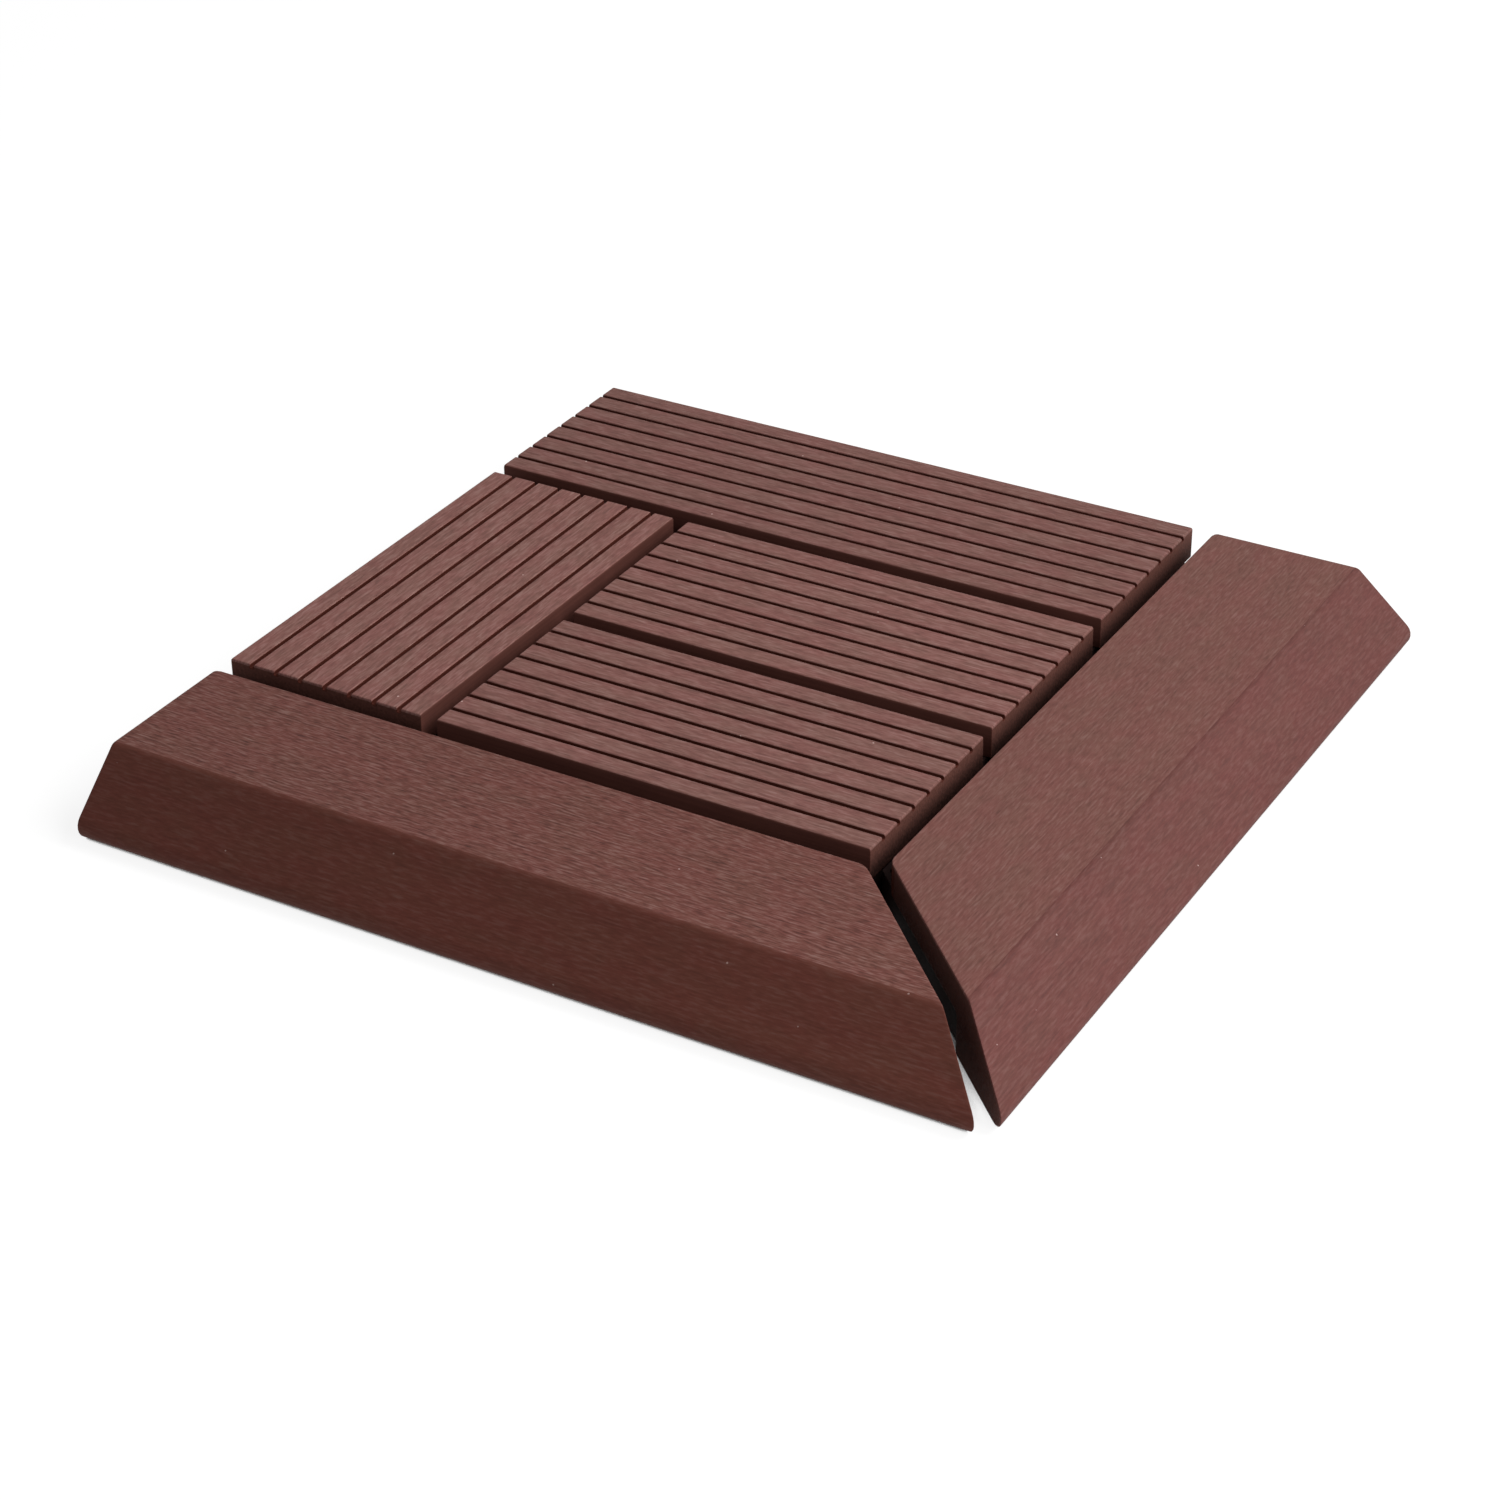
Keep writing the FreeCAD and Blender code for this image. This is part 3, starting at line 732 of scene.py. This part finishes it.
front_inner_edge = Matrix.Translation((0.0, front_high.y, 0.0))
quarter_turn = Matrix.Rotation(math.pi / 2, 4, "Z")
right_inner_edge = Matrix.Translation((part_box("right_trim")[0].x, 0.0, 0.0)) @ quarter_turn
TRIM_CUTS = [
    ("front_trim", square_cut(-SQUARE_END), mitre_cut(1), front_inner_edge),
    ("right_trim", mitre_cut(-1), square_cut(SQUARE_END), right_inner_edge),
]
even_ends = sawn_finish("composite_sawn_trim", SAWN_COLOUR, 1.0, 1.0)
for number, (node_name, start_cut, end_cut, placement) in enumerate(TRIM_CUTS):
    look = TRIM_FINISHES[node_name]
    shift = TRIM_SHIFTS[node_name]
    top_look = (look["top"], look["contrast"], TOP_SPECKS, shift)
    slope_look = (look["slope"], SLOPE_CONTRAST, SLOPE_SPECKS, shift)
    finishes = {
        "brushed": brushed_finish(f"trim_top_{number}", *top_look),
        "slope": brushed_finish(f"trim_slope_{number}", *slope_look),
        "sawn": even_ends,
        **SHARED_FINISHES,
    }
    trim = saw_board(
        node_name + "_board",
        trim_section(),
        (start_cut, end_cut),
        (TRIM_ARRIS, 0.0, TRIM_CORNER_ROUND),
        placement,
        finishes,
        trim_finish_at,
    )
    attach(trim, "root")
    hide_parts(node_name)

# %% [markdown]
# ## Moulded plastic
#
# The grids are injection-moulded in black polypropylene. The mould leaves a fine even texture and the
# plastic a dull sheen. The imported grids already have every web, tower, peg and loop, so they stay as
# they are and only take this finish, placed by their own position in space.

# %% Dress the grids
PLASTIC_COLOUR = (0.022, 0.012, 0.011)
TEXTURE_SCALE, TEXTURE_DETAIL = 2600.0, 3.0
FLOW_SCALE, FLOW_DETAIL = 35.0, 4.0
FLOW_DARKER, FLOW_PALER = 0.75, 1.35
FLOW_SMOOTHER, FLOW_ROUGHER = 0.6, 0.75
TEXTURE_STRENGTH = 0.5
TEXTURE_HEIGHT = 0.05 * MM
PLASTIC_SPECULAR = 0.05


def plastic_finish(name, colour):
    """Black moulded plastic with a fine spark-eroded texture and soft clouds where it flowed."""
    material, tree, shader = new_material(name)
    place = add_node(tree, "TexCoord").outputs["Object"]
    texture_sockets = {"Vector": place, "Scale": TEXTURE_SCALE, "Detail": TEXTURE_DETAIL}
    texture = add_node(tree, "TexNoise", texture_sockets).outputs[0]
    flow_sockets = {"Vector": place, "Scale": FLOW_SCALE, "Detail": FLOW_DETAIL}
    flow = add_node(tree, "TexNoise", flow_sockets).outputs[0]
    darker = (*(channel * FLOW_DARKER for channel in colour), 1.0)
    paler = (*(channel * FLOW_PALER for channel in colour), 1.0)
    shade = mix_colours(tree, rescale(tree, flow, NOISE_LOW, NOISE_HIGH), darker, paler)
    roughness = rescale(tree, flow, NOISE_LOW, NOISE_HIGH, FLOW_SMOOTHER, FLOW_ROUGHER)
    relief = {"relief": texture, "relief_height": TEXTURE_HEIGHT, "bump_strength": TEXTURE_STRENGTH}
    finish_with(tree, shader, shade, roughness, specular=PLASTIC_SPECULAR, **relief)
    return material


black_plastic = plastic_finish("black_plastic_moulded", PLASTIC_COLOUR)
for node_name in ("tile_base", "front_trim_base", "right_trim_base"):
    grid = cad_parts[node_name]
    for material_slot in grid.material_slots:
        material_slot.link = "OBJECT"
        material_slot.material = black_plastic
    print(f"{node_name}: dressed, {len(grid.data.polygons)} faces")

# %% [markdown]
# ## Screws
#
# Each board is held from below by four small screws and each trim by three, driven up through the square
# towers of the grids. A screw is a turned shape, so its outline is spun round its axis. The thread is
# made in the same pass: along the shank, the radius rises and falls with the height and the angle
# together, and that is a helix. The cross in the head is cut once, with a boolean, and all the screws
# share that one mesh.

# %% Turn one screw
HEAD_RADIUS = 3.6 * MM
HEAD_HEIGHT = 2.2 * MM
HEAD_EDGE = 0.8 * MM
SHANK_LENGTH = 13.0 * MM
POINT_LENGTH = 3.0 * MM
CORE_RADIUS = 1.25 * MM
THREAD_DEPTH = 0.5 * MM
THREAD_PITCH = 1.5 * MM
STEPS_ROUND = 24
STEPS_PER_PITCH = 6
CREST_SHARPNESS = 4
POINT_SHARE = 0.02


def thread_radius(height, turn):
    """Radius of the shank at a height over its seat and at a part of a turn round it."""
    phase = (height / THREAD_PITCH - turn) % 1.0
    crest = max(0.0, 1.0 - abs(phase - 0.5) * CREST_SHARPNESS)
    taper = min(1.0, (SHANK_LENGTH - height) / POINT_LENGTH)
    return (CORE_RADIUS + THREAD_DEPTH * crest) * max(taper, POINT_SHARE)


def screw_outline():
    """The screw from the head's face up to the point, as heights with the radii round each."""
    levels = []
    for step in range(ARC_STEPS + 1):
        turn = math.pi / 2 * step / ARC_STEPS
        radius = HEAD_RADIUS - HEAD_EDGE * (1 - math.sin(turn))
        levels.append((HEAD_EDGE * (1 - math.cos(turn)) - HEAD_HEIGHT, [radius] * STEPS_ROUND))
    levels.append((0.0, [HEAD_RADIUS] * STEPS_ROUND))
    count = round(SHANK_LENGTH / THREAD_PITCH * STEPS_PER_PITCH)
    for k in range(count + 1):
        height = SHANK_LENGTH * k / count
        radii = [thread_radius(height, step / STEPS_ROUND) for step in range(STEPS_ROUND)]
        levels.append((height, radii))
    return levels


def spun_screw():
    """The screw's shape, with its head down, and with the head's seat at height 0."""
    shape = bmesh.new()
    rings = []
    for height, radii in screw_outline():
        angles = [math.tau * step / STEPS_ROUND for step in range(STEPS_ROUND)]
        spots = [(r * math.cos(a), r * math.sin(a), height) for r, a in zip(radii, angles)]
        rings.append([shape.verts.new(spot) for spot in spots])
    close_rings(shape, rings)
    return shape


print("Rings in the turned screw:", len(screw_outline()))

# %% Punch the cross
CROSS_REACH = 2.0 * MM
CROSS_WIDTH = 0.9 * MM
CROSS_DEPTH = 1.3 * MM
MOUTH_SHARE, TIP_SHARE = 1.3, 0.7
SMOOTHED_UP_TO = math.radians(40)


def cross_punch():
    """A plug with four arms that narrows inwards, which leaves the driver's cross in the head."""
    shape = bmesh.new()
    half = CROSS_WIDTH / 2
    arm_corners = [(CROSS_REACH, -half), (CROSS_REACH, half), (half, half)]
    rings = []
    for depth, share in ((-CROSS_DEPTH, MOUTH_SHARE), (CROSS_DEPTH, TIP_SHARE)):
        arm = [Vector((x * share, y * share, depth - HEAD_HEIGHT)) for x, y in arm_corners]
        ring = []
        for quarter in range(4):
            turn = Matrix.Rotation(math.pi / 2 * quarter, 3, "Z")
            ring += [shape.verts.new(turn @ corner) for corner in arm]
        rings.append(ring)
    close_rings(shape, rings)
    return shape


blank = object_from(spun_screw(), "screw_blank")
punch = object_from(cross_punch(), "cross_punch")
cross_cut = blank.modifiers.new("cross", "BOOLEAN")
cross_cut.operation = "DIFFERENCE"
cross_cut.object = punch
cut_blank = blank.evaluated_get(bpy.context.evaluated_depsgraph_get())
screw_mesh = bpy.data.meshes.new_from_object(cut_blank)
screw_mesh.shade_smooth()
screw_mesh.set_sharp_from_angle(angle=SMOOTHED_UP_TO)
for tool in (blank, punch):
    bpy.data.objects.remove(tool)
print("One screw has", len(screw_mesh.polygons), "faces")

# %% [markdown]
# The steel is zinc plated. It is fully metallic, so its colour is the colour of what it mirrors, and a
# cloudy plating varies how sharp that is.
#
# The screws stand at crossings of the tile's square grid. Its step is a third of the distance between
# two boards' middles, so their places are whole numbers of steps from the tile's centre.

# %% Plate the screws
PLATING_COLOUR = (0.55, 0.55, 0.53, 1.0)
CLOUD_SIZE = (2 * MM, 2 * MM)
PLATING_GRAIN_SIZE = (0.3 * MM, 0.3 * MM)
PLATING_SWING = 0.12
PLATING_ROUGHNESS, PLATING_ROUGHNESS_SWING = 0.36, 0.1
PLATING_RELIEF = 0.01 * MM
PLATING_SPECULAR = 0.5


def plated_finish(name):
    """Zinc-plated steel, a little cloudy and finely grained."""
    material, tree, shader = new_material(name)
    place = add_node(tree, "TexCoord").outputs["Object"]
    clouds = grain_noise(tree, place, *CLOUD_SIZE, FINE)
    grains = grain_noise(tree, place, *PLATING_GRAIN_SIZE)
    colour = scaled(tree, PLATING_COLOUR, add_up(tree, swing(tree, clouds, PLATING_SWING), 1.0))
    roughness = add_up(tree, swing(tree, clouds, PLATING_ROUGHNESS_SWING), PLATING_ROUGHNESS)
    finish_with(tree, shader, colour, roughness, grains, PLATING_RELIEF, PLATING_SPECULAR)
    shader.inputs["Metallic"].default_value = 1.0
    return material


screw_mesh.materials.append(plated_finish("zinc_plated_steel"))
print("Finish of the screws:", screw_mesh.materials[0].name)

# %% Put the screws in their towers
HEAD_SEAT = 13.5 * MM
STEPS_PER_BOARD = 3
STRIP_WIDTH = 66 * MM
BOARD_SCREW_STEPS = {
    "back_board": ((-4, 4), (2, 4)),
    "left_board": ((-4, -2), (-4, 1)),
    "middle_board": ((-1, 4), (-1, 1)),
    "front_board": ((-1, 4), (-4, -2)),
}
TRIM_SCREW_STEPS = (-3, 0, 3)


def add_screw(name, x, y):
    """A screw with its head against the top of its tower's recess."""
    screw = add_to_scene(name, screw_mesh)
    screw.location = (x, y, HEAD_SEAT)
    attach(screw, "root")


grid_step = (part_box("middle_slat")[0].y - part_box("front_slat")[0].y) / STEPS_PER_BOARD
for board_name, (steps_right, steps_back) in BOARD_SCREW_STEPS.items():
    for number, (right, back) in enumerate(itertools.product(steps_right, steps_back)):
        add_screw(f"{board_name}_screw_{number + 1}", right * grid_step, back * grid_step)

strip_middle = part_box("front_trim_base")[0].y + STRIP_WIDTH / 2
for number, steps in enumerate(TRIM_SCREW_STEPS):
    add_screw(f"front_trim_screw_{number + 1}", steps * grid_step, strip_middle)
    add_screw(f"right_trim_screw_{number + 1}", -strip_middle, steps * grid_step)
print("Grid step in mm:", round(grid_step / MM, 3))
